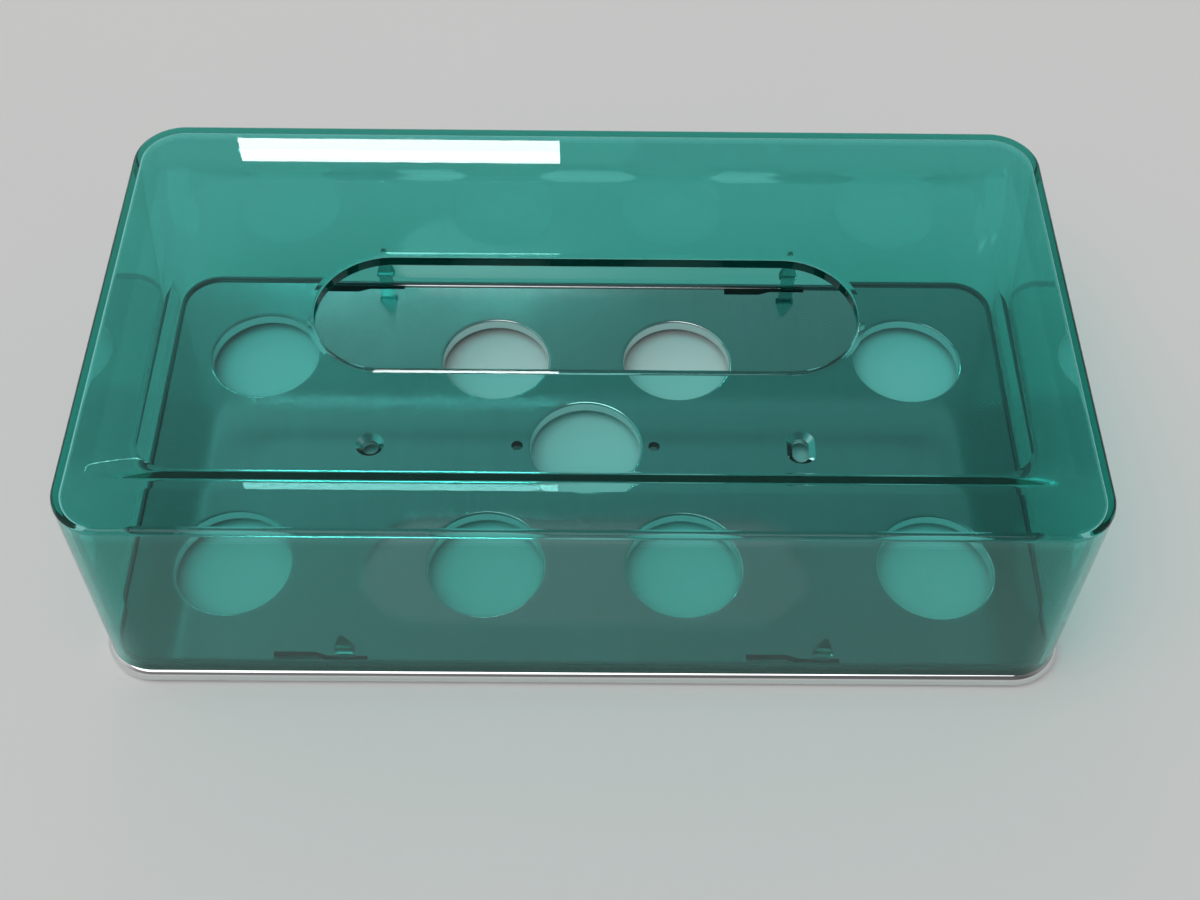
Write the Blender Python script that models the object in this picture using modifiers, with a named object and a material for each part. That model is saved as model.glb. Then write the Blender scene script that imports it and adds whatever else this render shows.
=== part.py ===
"""Tissue box with a clear tinted drop-over cover and a bright plated base.

The cover is a thin moulded shell with a long pull slot in its top.  Its top
is thicker in the middle than along the edges, and the change of thickness is
a smooth swell on the underside.  Four tapered lugs on the inner faces of the
long walls reach down into slots in the base.  The base is a shallow moulded
tray with a half-round rim, a low lip inside the walls, nine large round
openings with collars, and two holes for hanging it on a wall.

Metres, +Z up, origin at the centre of the footprint on the table.
"""
import math

import bmesh
import bpy

# Cover shell
COVER_LENGTH = 0.256
COVER_DEPTH = 0.141
COVER_TOP_Z = 0.070
COVER_WALL = 0.0018
COVER_CORNER_RADIUS = 0.0132
COVER_TOP_ROUND = 0.0012
COVER_INNER_ROUND = 0.0010
TOP_EDGE_THICKNESS = 0.0018
TOP_FIELD_THICKNESS = 0.0034

# Swell on the underside of the top, from the thin border to the thick field
SWELL_OUTER_MARGIN_X = 0.0014
SWELL_OUTER_MARGIN_Y = 0.0118
SWELL_WIDTH_X = 0.0070
SWELL_WIDTH_Y = 0.0070
SWELL_OUTER_RADIUS = 0.0050
SWELL_INNER_RADIUS = 0.0030
SWELL_HOLLOW = 0.65

# Pull slot in the top
SLOT_LENGTH = 0.142
SLOT_WIDTH = 0.0385
SLOT_EASE_WIDTH = 0.0018
SLOT_EASE_DEPTH = 0.0004
SLOT_UNDER_ROUND = 0.0005

# Base tray
RIM_HEIGHT = 0.0050
RIM_PROUD = 0.0012
SEAT_CLEARANCE = 0.0003
WALL_CLEARANCE = 0.0004
PLATE_RISE = 0.0020
PLATE_THICKNESS = 0.0024
LIP_HEIGHT = 0.0010
LIP_THICKNESS = 0.0009
SKIRT_THICKNESS = 0.0016

# Round openings of the base
OPENING_RADIUS = 0.0160
OPENING_END_MARGIN = 0.0146
OPENING_SIDE_MARGIN = 0.0176
OPENING_INNER_PITCH = 0.0550
MIDDLE_ROW_Y = 0.0030
OPENING_EDGE_ROUND = 0.0008
COLLAR_WALL = 0.0016
COLLAR_DROP = 0.0010

# Wall-hanging holes and the two small round holes
HANG_X = 0.0630
SCREW_HOLE_RADIUS = 0.0025
SCREW_HEAD_RADIUS = 0.0042
SCREW_SINK_DEPTH = 0.0015
HANG_SLOT_TRAVEL = 0.0034
SMALL_HOLE_RADIUS = 0.0017
SMALL_HOLE_X = 0.0200

# Catches: lugs on the cover, slots and windows in the base
LUG_X = 0.0630
LUG_HEAD_WIDTH = 0.0056
LUG_SHOULDER_RISE = 0.0055
LUG_HEAD_HEIGHT = 0.0085
LUG_TIP_WIDTH = 0.0012
LUG_TIP_DEPTH = 0.0005
LUG_SEAT_GAP = 0.0003
LUG_OVERHANG = 0.0002
TONGUE_WIDTH = 0.0042
TONGUE_THICKNESS = 0.0008
TONGUE_CLEARANCE = 0.0003
TONGUE_REACH = 0.0014
CATCH_SLOT_LENGTH = 0.0109
CATCH_SLOT_DEPTH = 0.0030
CATCH_LIP_MARGIN = 0.0002
WINDOW_LENGTH = 0.0108
WINDOW_WIDTH = 0.0026
WINDOW_TAPER = 0.0034

# Facets
CORNER_STEPS = 10
ROUND_STEPS = 4
RIM_STEPS = 10
SWELL_STEPS = 12
SLOT_END_STEPS = 16
OPENING_SIDES = 44
SMALL_SIDES = 20
SMOOTH_ANGLE = math.radians(35.0)
CUT_OVERSHOOT = 0.0010

# Heights that the sizes above lead to
COVER_BOTTOM_Z = RIM_HEIGHT + SEAT_CLEARANCE
PLATE_TOP_Z = RIM_HEIGHT + PLATE_RISE
PLATE_UNDER_Z = PLATE_TOP_Z - PLATE_THICKNESS
LIP_TOP_Z = PLATE_TOP_Z + LIP_HEIGHT
COLLAR_BOTTOM_Z = PLATE_UNDER_Z - COLLAR_DROP
SHOULDER_Z = PLATE_TOP_Z + LUG_SHOULDER_RISE

# Half sizes of the outlines, each set off from the cover's outline
COVER_HALF = (COVER_LENGTH / 2, COVER_DEPTH / 2)
PLUG_INSET = COVER_WALL + WALL_CLEARANCE
LIP_INNER_Y = COVER_HALF[1] - PLUG_INSET - LIP_THICKNESS
CATCH_SLOT_OUTER_Y = LIP_INNER_Y - CATCH_LIP_MARGIN
CATCH_SLOT_WIDTH = TONGUE_THICKNESS + 2 * TONGUE_CLEARANCE

# Places of the round openings, set in from the cover's outline
OPENING_OUTER_X = COVER_HALF[0] - OPENING_END_MARGIN - OPENING_RADIUS
OPENING_ROW_Y = COVER_HALF[1] - OPENING_SIDE_MARGIN - OPENING_RADIUS
OPENING_INNER_X = OPENING_INNER_PITCH / 2


def clear_scene() -> None:
    """Remove every object and collection left in the file."""
    for item in list(bpy.data.objects):
        bpy.data.objects.remove(item, do_unlink=True)
    for group in list(bpy.data.collections):
        bpy.data.collections.remove(group)


def new_collection(name: str) -> bpy.types.Collection:
    """Make a collection under the scene."""
    group = bpy.data.collections.new(name)
    bpy.context.scene.collection.children.link(group)
    return group


def new_material(name, colour, roughness, metallic, transmission=0.0):
    """Make a Principled material."""
    material = bpy.data.materials.new(name)
    material.use_nodes = True
    shader = material.node_tree.nodes["Principled BSDF"]
    shader.inputs["Base Color"].default_value = (*colour, 1.0)
    shader.inputs["Roughness"].default_value = roughness
    shader.inputs["Metallic"].default_value = metallic
    shader.inputs["Transmission Weight"].default_value = transmission
    material.diffuse_color = (*colour, 1.0)
    return material


def rounded_outline(half_x, half_y, radius, steps):
    """Corner-rounded rectangle, counter-clockwise, without doubled points."""
    points = []
    for quarter in range(4):
        sign_x = 1 if quarter in (0, 3) else -1
        sign_y = 1 if quarter in (0, 1) else -1
        centre = (sign_x * (half_x - radius), sign_y * (half_y - radius))
        for step in range(steps + 1):
            angle = (quarter + step / steps) * math.pi / 2
            point = (centre[0] + radius * math.cos(angle), centre[1] + radius * math.sin(angle))
            if not points or math.dist(point, points[-1]) > 1e-7:
                points.append(point)
    if math.dist(points[0], points[-1]) < 1e-7:
        points.pop()
    return points


def inset_outline(inset, steps=CORNER_STEPS):
    """The cover's outline moved inwards, or outwards for a negative inset."""
    radius = COVER_CORNER_RADIUS - inset
    return rounded_outline(COVER_HALF[0] - inset, COVER_HALF[1] - inset, radius, steps)


def link_mesh(name, bm, group) -> bpy.types.Object:
    """Turn a bmesh into a smooth-shaded object in a collection."""
    bmesh.ops.recalc_face_normals(bm, faces=bm.faces)
    mesh = bpy.data.meshes.new(name)
    bm.to_mesh(mesh)
    bm.free()
    mesh.shade_smooth()
    mesh.set_sharp_from_angle(angle=SMOOTH_ANGLE)
    item = bpy.data.objects.new(name, mesh)
    group.objects.link(item)
    return item


def loft(name, sections, group) -> bpy.types.Object:
    """Skin a run of outlines, each with its height, and cap both ends."""
    bm = bmesh.new()
    rings = []
    for outline, height in sections:
        rings.append([bm.verts.new((x, y, height)) for x, y in outline])
    for lower, upper in zip(rings, rings[1:]):
        for index in range(len(lower)):
            after = (index + 1) % len(lower)
            bm.faces.new((lower[index], lower[after], upper[after], upper[index]))
    bm.faces.new(list(reversed(rings[0])))
    bm.faces.new(rings[-1])
    return link_mesh(name, bm, group)


def prism(name, outline, low, high, group) -> bpy.types.Object:
    """Straight solid on an outline."""
    return loft(name, [(outline, low), (outline, high)], group)


def turned(name, profile, sides, group) -> bpy.types.Object:
    """Turn a profile of (radius, height) points, top to bottom, about Z."""
    mesh = bpy.data.meshes.new(name)
    edges = [(index, index + 1) for index in range(len(profile) - 1)]
    mesh.from_pydata([(radius, 0.0, height) for radius, height in profile], edges, [])
    item = bpy.data.objects.new(name, mesh)
    group.objects.link(item)
    screw = item.modifiers.new("turn", "SCREW")
    screw.axis = "Z"
    screw.steps = sides
    screw.render_steps = sides
    screw.use_merge_vertices = True
    screw.merge_threshold = 1e-6
    screw.use_smooth_shade = True
    return item


def cylinder(name, radius, low, high, sides, group) -> bpy.types.Object:
    """Upright cylinder between two heights."""
    bm = bmesh.new()
    bmesh.ops.create_cone(
        bm, cap_ends=True, cap_tris=False, segments=sides, radius1=radius, radius2=radius, depth=high - low
    )
    bmesh.ops.translate(bm, verts=bm.verts, vec=(0.0, 0.0, (low + high) / 2))
    return link_mesh(name, bm, group)


def make_cutter(item: bpy.types.Object) -> bpy.types.Object:
    """Keep a cutter out of the finished object."""
    item.hide_render = True
    item.display_type = "WIRE"
    return item


def cut(target, cutter) -> None:
    """Take the cutter's solid out of the target."""
    modifier = target.modifiers.new("cut_" + cutter.name, "BOOLEAN")
    modifier.operation = "DIFFERENCE"
    modifier.solver = "EXACT"
    modifier.object = make_cutter(cutter)


def arc_offsets(width, depth, steps):
    """Inset and drop along a quarter round, from the side up to the top."""
    for step in range(steps + 1):
        angle = step / steps * math.pi / 2
        yield width * (1 - math.cos(angle)), depth * (1 - math.sin(angle))


def swell_drop(share):
    """Share of the swell's full drop at a share of its width, from outside in.

    A long hollow arc runs down from the border and a shorter round one runs
    out into the field, and both have the same slope where they meet.
    """
    if share < SWELL_HOLLOW:
        return share * share / SWELL_HOLLOW
    return 1 - (1 - share) ** 2 / (1 - SWELL_HOLLOW)


def cover_outer_sections():
    """Outside of the cover: straight walls and a rounded top edge."""
    sections = [(inset_outline(0.0), COVER_BOTTOM_Z)]
    for inset, drop in arc_offsets(COVER_TOP_ROUND, COVER_TOP_ROUND, ROUND_STEPS):
        sections.append((inset_outline(inset), COVER_TOP_Z - drop))
    return sections


def cover_cavity_sections():
    """Inside of the cover: walls, rounded corner, thin border and the swell."""
    edge_z = COVER_TOP_Z - TOP_EDGE_THICKNESS
    full_drop = TOP_FIELD_THICKNESS - TOP_EDGE_THICKNESS
    sections = [(inset_outline(COVER_WALL), COVER_BOTTOM_Z - CUT_OVERSHOOT)]
    for inset, drop in arc_offsets(COVER_INNER_ROUND, COVER_INNER_ROUND, ROUND_STEPS):
        sections.append((inset_outline(COVER_WALL + inset), edge_z - drop))
    start_x = COVER_HALF[0] - COVER_WALL - SWELL_OUTER_MARGIN_X
    start_y = COVER_HALF[1] - COVER_WALL - SWELL_OUTER_MARGIN_Y
    for step in range(SWELL_STEPS + 1):
        share = step / SWELL_STEPS
        half_x = start_x - share * SWELL_WIDTH_X
        half_y = start_y - share * SWELL_WIDTH_Y
        radius = SWELL_OUTER_RADIUS + share * (SWELL_INNER_RADIUS - SWELL_OUTER_RADIUS)
        outline = rounded_outline(half_x, half_y, radius, CORNER_STEPS)
        sections.append((outline, edge_z - full_drop * swell_drop(share)))
    return sections


def slot_sections():
    """Pull slot: a long round-ended hole, softly eased above and rounded below."""
    under_z = COVER_TOP_Z - TOP_FIELD_THICKNESS
    steps = [(SLOT_UNDER_ROUND, under_z - CUT_OVERSHOOT)]
    for grow, drop in reversed(list(arc_offsets(SLOT_UNDER_ROUND, SLOT_UNDER_ROUND, ROUND_STEPS))):
        steps.append((grow, under_z + drop))
    for grow, drop in arc_offsets(SLOT_EASE_WIDTH, SLOT_EASE_DEPTH, ROUND_STEPS):
        steps.append((grow, COVER_TOP_Z - drop))
    steps.append((SLOT_EASE_WIDTH, COVER_TOP_Z + CUT_OVERSHOOT))
    sections = []
    for grow, height in steps:
        half_x = SLOT_LENGTH / 2 + grow
        half_y = SLOT_WIDTH / 2 + grow
        sections.append((rounded_outline(half_x, half_y, half_y, SLOT_END_STEPS), height))
    return sections


def base_sections():
    """Outside of the base: half-round rim, seat, lip and the plate's top."""
    bead = RIM_HEIGHT / 2
    sections = []
    for step in range(RIM_STEPS + 1):
        angle = (step / RIM_STEPS - 0.5) * math.pi
        inset = -RIM_PROUD + bead * (1 - math.cos(angle))
        sections.append((inset_outline(inset), bead + bead * math.sin(angle)))
    sections.append((inset_outline(PLUG_INSET), RIM_HEIGHT))
    sections.append((inset_outline(PLUG_INSET), LIP_TOP_Z))
    sections.append((inset_outline(PLUG_INSET + LIP_THICKNESS), LIP_TOP_Z))
    sections.append((inset_outline(PLUG_INSET + LIP_THICKNESS), PLATE_TOP_Z))
    return sections


def eased_hole_profile(radius, ease):
    """Profile of a round cutter whose top edge opens out in a quarter round."""
    profile = [(0.0, PLATE_TOP_Z + CUT_OVERSHOOT), (radius + ease, PLATE_TOP_Z + CUT_OVERSHOOT)]
    for inset, drop in reversed(list(arc_offsets(ease, ease, ROUND_STEPS))):
        profile.append((radius + inset, PLATE_TOP_Z - drop))
    profile.append((radius, COLLAR_BOTTOM_Z - CUT_OVERSHOOT))
    profile.append((0.0, COLLAR_BOTTOM_Z - CUT_OVERSHOOT))
    return profile


def opening_places():
    """Centres of the nine large openings."""
    places = [(0.0, MIDDLE_ROW_Y)]
    for row in (-OPENING_ROW_Y, OPENING_ROW_Y):
        for column in (OPENING_OUTER_X, OPENING_INNER_X):
            places.append((-column, row))
            places.append((column, row))
    return places


def hang_sections(travel):
    """Countersunk hole, drawn out along Y by the travel for the hanging slot."""
    sink_z = PLATE_TOP_Z - SCREW_SINK_DEPTH
    steps = (
        (SCREW_HOLE_RADIUS, COLLAR_BOTTOM_Z - CUT_OVERSHOOT),
        (SCREW_HOLE_RADIUS, sink_z),
        (SCREW_HEAD_RADIUS, PLATE_TOP_Z),
        (SCREW_HEAD_RADIUS, PLATE_TOP_Z + CUT_OVERSHOOT),
    )
    sections = []
    for radius, height in steps:
        outline = rounded_outline(radius, radius + travel / 2, radius, SMALL_SIDES // 4)
        sections.append((outline, height))
    return sections


def catch_outline(side):
    """Catch slot with its wide entry window, at the lip of one long wall."""
    outer = CATCH_SLOT_OUTER_Y
    inner = outer - CATCH_SLOT_WIDTH
    window_inner = outer - WINDOW_WIDTH
    right = LUG_X + CATCH_SLOT_LENGTH / 2
    left = LUG_X - CATCH_SLOT_LENGTH / 2
    window_right = left - WINDOW_TAPER
    window_left = window_right - WINDOW_LENGTH
    outline = [(window_left, outer), (window_left, window_inner), (window_right, window_inner)]
    outline += [(left, inner), (right, inner), (right, outer)]
    return [(x, side * y) for x, y in outline]


def shifted(outline, offset_x):
    """Move an outline along X."""
    return [(x + offset_x, y) for x, y in outline]


def rectangle(half_x, near, far, side):
    """Four corners of a rectangle between two distances from the middle."""
    corners = [(-half_x, near), (half_x, near), (half_x, far), (-half_x, far)]
    return [(x, side * y) for x, y in corners]


def build_cover(group, cutters):
    """The moulded cover with its cavity and its pull slot."""
    cover = loft("cover", cover_outer_sections(), group)
    cut(cover, loft("cover_cavity", cover_cavity_sections(), cutters))
    cut(cover, loft("pull_slot", slot_sections(), cutters))
    return cover


def build_base(group, cutters):
    """The plated base tray with its openings, collars and catch slots."""
    base = loft("base_plate", base_sections(), group)
    pocket_inset = PLUG_INSET + SKIRT_THICKNESS
    pocket = prism("base_pocket", inset_outline(pocket_inset), -CUT_OVERSHOOT, PLATE_UNDER_Z, cutters)
    holes = []
    for index, (x, y) in enumerate(opening_places()):
        holes.append((f"opening_{index}", x, y, OPENING_RADIUS, OPENING_EDGE_ROUND, OPENING_SIDES))
    for index, x in enumerate((-SMALL_HOLE_X, SMALL_HOLE_X)):
        holes.append((f"small_hole_{index}", x, MIDDLE_ROW_Y, SMALL_HOLE_RADIUS, 0.0, SMALL_SIDES))
    collar_top = PLATE_UNDER_Z + CUT_OVERSHOOT
    for name, x, y, radius, ease, sides in holes:
        if ease == 0.0:
            continue
        collar = cylinder("collar_" + name, radius + COLLAR_WALL, COLLAR_BOTTOM_Z, collar_top, sides, cutters)
        collar.location = (x, y, 0.0)
        cut(pocket, collar)
    for name, x, travel in (("hang_hole", -HANG_X, 0.0), ("hang_slot", HANG_X, HANG_SLOT_TRAVEL)):
        outer = SCREW_HOLE_RADIUS + COLLAR_WALL
        outline = rounded_outline(outer, outer + travel / 2, outer, SMALL_SIDES // 4)
        collar = prism("collar_" + name, outline, COLLAR_BOTTOM_Z, collar_top, cutters)
        collar.location = (x, MIDDLE_ROW_Y, 0.0)
        cut(pocket, collar)
    cut(base, pocket)
    for name, x, y, radius, ease, sides in holes:
        if ease > 0.0:
            hole = turned(name, eased_hole_profile(radius, ease), sides, cutters)
        else:
            low = COLLAR_BOTTOM_Z - CUT_OVERSHOOT
            hole = cylinder(name, radius, low, PLATE_TOP_Z + CUT_OVERSHOOT, sides, cutters)
        hole.location = (x, y, 0.0)
        cut(base, hole)
    for name, x, travel in (("hang_hole", -HANG_X, 0.0), ("hang_slot", HANG_X, HANG_SLOT_TRAVEL)):
        hole = loft(name, hang_sections(travel), cutters)
        hole.location = (x, MIDDLE_ROW_Y, 0.0)
        cut(base, hole)
    low = PLATE_TOP_Z - CATCH_SLOT_DEPTH
    high = PLATE_TOP_Z + CUT_OVERSHOOT
    for side_name, side in (("front", -1), ("back", 1)):
        for end_name, offset in (("left", -2 * LUG_X), ("right", 0.0)):
            name = f"catch_slot_{side_name}_{end_name}"
            cut(base, prism(name, shifted(catch_outline(side), offset), low, high, cutters))
    return base


def build_lug(name, x, side, group):
    """A lug: tapered head against the wall, tongue down into its base slot."""
    tongue_far = CATCH_SLOT_OUTER_Y - TONGUE_CLEARANCE
    tongue_near = tongue_far - TONGUE_THICKNESS
    head_far = COVER_HALF[1] - COVER_WALL - LUG_SEAT_GAP
    head_near = tongue_near - LUG_OVERHANG
    tongue = rectangle(TONGUE_WIDTH / 2, tongue_near, tongue_far, side)
    head = rectangle(LUG_HEAD_WIDTH / 2, head_near, head_far, side)
    tip = rectangle(LUG_TIP_WIDTH / 2, head_far - LUG_TIP_DEPTH, head_far, side)
    sections = [
        (tongue, PLATE_TOP_Z - TONGUE_REACH),
        (tongue, SHOULDER_Z),
        (head, SHOULDER_Z),
        (tip, SHOULDER_Z + LUG_HEAD_HEIGHT),
    ]
    lug = loft(name, sections, group)
    lug.location.x = x
    return lug


def main() -> None:
    """Build the tissue box."""
    clear_scene()
    group = new_collection("tissue_box")
    cutters = new_collection("tissue_box_cutters")
    tinted = new_material("tinted_clear_plastic", (0.035, 0.34, 0.29), 0.06, 0.0, 0.9)
    plated = new_material("bright_plating", (0.66, 0.67, 0.68), 0.07, 1.0)

    base = build_base(group, cutters)
    base.data.materials.append(plated)

    lift_axis = bpy.data.objects.new("cover_lift_axis", None)
    group.objects.link(lift_axis)
    lift_axis.location = (0.0, 0.0, COVER_BOTTOM_Z)
    bpy.context.view_layer.update()

    moving = [build_cover(group, cutters)]
    for side_name, side in (("front", -1), ("back", 1)):
        for end_name, x in (("left", -LUG_X), ("right", LUG_X)):
            moving.append(build_lug(f"lug_{side_name}_{end_name}", x, side, group))
    for item in moving:
        item.data.materials.append(tinted)
        item.parent = lift_axis
        item.matrix_parent_inverse = lift_axis.matrix_world.inverted()


main()
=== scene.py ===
"""Tissue box: a clear tinted cover that drops over a bright plated base tray.

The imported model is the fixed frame.  The cover, the base tray and the four
catches are modelled again with smooth, finer surfaces in the same places, and
get procedural finishes, a pale floor, soft light and the photo's camera.
"""
import logging
import math
from dataclasses import dataclass
from enum import Enum
from typing import Callable, Iterable, Optional, Sequence

import bmesh
import bpy
from mathutils import Matrix, Vector


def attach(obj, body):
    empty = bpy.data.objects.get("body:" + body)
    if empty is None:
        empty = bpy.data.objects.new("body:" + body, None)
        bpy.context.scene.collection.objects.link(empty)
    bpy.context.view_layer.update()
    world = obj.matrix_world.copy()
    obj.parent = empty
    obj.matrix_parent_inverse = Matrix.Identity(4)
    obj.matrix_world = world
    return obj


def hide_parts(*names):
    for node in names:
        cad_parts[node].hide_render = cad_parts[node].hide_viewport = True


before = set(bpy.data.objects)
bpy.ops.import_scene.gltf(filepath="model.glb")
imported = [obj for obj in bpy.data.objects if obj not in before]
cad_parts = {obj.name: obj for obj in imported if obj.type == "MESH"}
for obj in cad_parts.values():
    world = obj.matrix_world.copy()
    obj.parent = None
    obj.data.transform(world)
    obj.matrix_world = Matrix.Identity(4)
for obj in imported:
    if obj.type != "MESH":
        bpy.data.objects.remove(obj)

Colour = tuple[float, float, float]
Triple = tuple[float, float, float]
Pair = tuple[float, float]
Tones = tuple[Colour, Colour]
Item = bpy.types.Object
Material = bpy.types.Material
Socket = bpy.types.NodeSocket

LOG = logging.getLogger("tissue_box")
# Face mark of the small holes' and catch slots' walls that get painted shade.
HOLE_SHADE_MARK = "bare_wall"
SLOT_HALF: Pair = (0.071, 0.01925)
SMOOTH_ANGLE = 36.0
FLAT_NORMAL = 0.9
FLAT_WEIGHT = 100
LEVEL_TOLERANCE = 1e-5
EDGE_TOLERANCE = 1e-6
UPRIGHT_TOLERANCE = 1e-7


class Body(Enum):
    """The two bodies of the frame."""

    BASE = "base"
    COVER = "cover"


class Side(Enum):
    """A long wall, by the sign of its Y."""

    FRONT = -1
    BACK = 1


class End(Enum):
    """An end of the box, by the sign of its X."""

    LEFT = -1
    RIGHT = 1


class Way(Enum):
    """Where a level face looks, by the sign of its normal's Z."""

    UP = 1.0
    DOWN = -1.0


class Slot(Enum):
    """Two slot names, one for the cover and one for the base."""

    TINTED = "tinted_cover"
    PLATED = "plated_base"


class Cut(Enum):
    """Boolean operations used on a piece."""

    TAKE = "DIFFERENCE"
    JOIN = "UNION"


class Part(Enum):
    """Parts of a mesh that can be selected."""

    FACE = "faces"
    EDGE = "edges"
    VERT = "verts"


class Mix(Enum):
    """What a Mix node mixes: its data type, its first input and its output."""

    NUMBER = ("FLOAT", 2, 0)
    COLOUR = ("RGBA", 6, 2)


class Bench:
    """One mesh object on the bench, shaped with operators in edit mode."""

    def __init__(self, name: str) -> None:
        """Take the active object as the work piece.

        Args:
            name: Name for the object and its mesh.
        """
        self.item: Item = bpy.context.object
        self.item.name = name
        self.item.data.name = name

    @staticmethod
    def clear_selection() -> None:
        """Leave edit mode and deselect everything."""
        if bpy.context.object is not None and bpy.context.object.mode != "OBJECT":
            bpy.ops.object.mode_set(mode="OBJECT")
        bpy.ops.object.select_all(action="DESELECT")

    @classmethod
    def block(cls, name: str, low: Triple, high: Triple) -> "Bench":
        """Start from a cube between two corners.

        Args:
            name: Name of the piece.
            low: Lowest corner in metres.
            high: Highest corner in metres.

        Returns:
            The new work piece, with its place in its mesh.
        """
        cls.clear_selection()
        centre = [(a + b) / 2 for a, b in zip(low, high)]
        bpy.ops.mesh.primitive_cube_add(size=1.0, location=centre)
        bpy.context.object.scale = [b - a for a, b in zip(low, high)]
        return cls._settled(name)

    @classmethod
    def disc(cls, name: str, radius: float, low: float, high: float, sides: int) -> "Bench":
        """Start from an upright cylinder on the Z axis.

        Args:
            name: Name of the piece.
            radius: Radius in metres.
            low: Height of the lower end.
            high: Height of the upper end.
            sides: Number of facets round it.

        Returns:
            The new work piece.
        """
        cls.clear_selection()
        bpy.ops.mesh.primitive_cylinder_add(
            vertices=sides, radius=radius, depth=high - low, location=(0.0, 0.0, (low + high) / 2)
        )
        bpy.context.object.rotation_euler.z = math.pi / sides
        return cls._settled(name)

    @classmethod
    def _settled(cls, name: str) -> "Bench":
        """Put the active object's place into its mesh and wrap it."""
        bpy.ops.object.transform_apply(location=True, rotation=True, scale=True)
        return cls(name)

    def _edit(self) -> bmesh.types.BMesh:
        """Enter edit mode with nothing selected and give the edit mesh."""
        if self.item.mode != "EDIT":
            self.clear_selection()
            bpy.context.view_layer.objects.active = self.item
            self.item.select_set(True)
            bpy.ops.object.mode_set(mode="EDIT")
        bpy.ops.mesh.select_all(action="DESELECT")
        return bmesh.from_edit_mesh(self.item.data)

    def _pick(self, part: Part, test: Callable[[object], bool]) -> "Bench":
        """Select parts of the mesh.

        Args:
            part: Kind of part.
            test: Gives True for a wanted part.

        Returns:
            The work piece, in that part's mode.
        """
        mesh = self._edit()
        bpy.ops.mesh.select_mode(type=part.name)
        for element in getattr(mesh, part.value):
            element.select_set(test(element))
        bmesh.update_edit_mesh(self.item.data)
        return self

    def faces(self, test: Callable[[Vector, Vector], bool]) -> "Bench":
        """Select faces whose centre and normal pass a test."""
        return self._pick(Part.FACE, lambda face: test(face.calc_center_median(), face.normal))

    def edges(self, test: Callable[[Vector, Vector], bool]) -> "Bench":
        """Select edges whose two ends pass a test."""
        return self._pick(Part.EDGE, lambda edge: test(edge.verts[0].co, edge.verts[1].co))

    def points(self, test: Callable[[Vector], bool]) -> "Bench":
        """Select points whose place passes a test."""
        return self._pick(Part.VERT, lambda point: test(point.co))

    def bevel(self, offset: float, steps: int) -> "Bench":
        """Round the selected edges by a radius, with some segments across."""
        bpy.ops.mesh.bevel(offset=offset, segments=steps, affect="EDGES", clamp_overlap=False)
        return self

    def inset(self, thickness: float) -> "Bench":
        """Inset the selected faces evenly, leaving the inner ones selected."""
        bpy.ops.mesh.inset(thickness=thickness, use_even_offset=True)
        return self

    def extrude(self, shift: Triple) -> "Bench":
        """Extrude the selected faces by a shift, leaving the new ones selected."""
        bpy.ops.mesh.extrude_region_move(TRANSFORM_OT_translate={"value": shift})
        return self

    def scale(self, factors: Triple, centre: Triple) -> "Bench":
        """Scale what is selected about a centre."""
        bpy.ops.transform.resize(value=factors, center_override=centre)
        return self

    def shift(self, offset: Triple) -> "Bench":
        """Move what is selected."""
        bpy.ops.transform.translate(value=offset)
        return self

    def ring(self, rise: float, old: Pair, new: Pair, centre: Triple) -> "Bench":
        """Extrude the selected cap by a rise, and scale its half sizes from old to new about a centre."""
        self.extrude((0.0, 0.0, rise))
        return self.scale((new[0] / old[0], new[1] / old[1], 1.0), centre)

    def level(self, height: float, way: Way) -> "Bench":
        """Select the flat face that looks up or down at a height."""
        low, high = height - LEVEL_TOLERANCE, height + LEVEL_TOLERANCE
        return self.faces(lambda at, normal: normal.z * way.value > FLAT_NORMAL and low < at.z < high)

    def round_corners(self, radius: float, steps: int) -> "Bench":
        """Round the upright edges of a block."""
        self.edges(lambda a, b: math.dist(a.xy, b.xy) < UPRIGHT_TOLERANCE)
        return self.bevel(radius, steps)

    def round_rim(self, heights: Sequence[float], radius: float, steps: int) -> "Bench":
        """Round the level edges at some heights."""
        self.edges(lambda a, b: any(max(abs(a.z - h), abs(b.z - h)) < EDGE_TOLERANCE for h in heights))
        return self.bevel(radius, steps)

    def flare(self, half: Pair, profile: Sequence[Pair], height: float, way: Way) -> "Bench":
        """Widen the cap at a height along a profile.

        Args:
            half: Half sizes of the cap along X and Y.
            profile: Spread and remaining depth, from the cap on.
            height: Height of the cap.
            way: Where the cap looks.

        Returns:
            The work piece, with the last cap selected.
        """
        self.level(height, way)
        size, left = half, profile[0][1]
        for grow, rest in profile[1:]:
            fresh = (half[0] + grow, half[1] + grow)
            self.ring(way.value * (left - rest), size, fresh, (0.0, 0.0, height))
            size, left = fresh, rest
        return self

    def stretch(self, axis: int, reach: float) -> "Bench":
        """Pull the two halves of the piece apart along an axis.

        Args:
            axis: 0 for X, 1 for Y.
            reach: Distance each half moves.

        Returns:
            The work piece.
        """
        for sign in (-1.0, 1.0):
            offset = [0.0, 0.0, 0.0]
            offset[axis] = sign * reach
            self.points(lambda place: place[axis] * sign > 0.0).shift(tuple(offset))
        return self

    def copy_to(self, name: str, offset: Triple, half_turn: bool = False) -> "Bench":
        """Copy the piece, with its own mesh, to another place.

        Args:
            name: Name of the copy.
            offset: Shift of the copy.
            half_turn: True to turn it half round about Z first.

        Returns:
            The copy.
        """
        self.clear_selection()
        turn = Matrix.Rotation(math.pi if half_turn else 0.0, 4, "Z")
        twin = self.item.copy()
        twin.data = self.item.data.copy()
        bpy.context.scene.collection.objects.link(twin)
        twin.matrix_world = Matrix.Translation(offset) @ turn
        bpy.context.view_layer.objects.active = twin
        twin.select_set(True)
        return self._settled(name)

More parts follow.
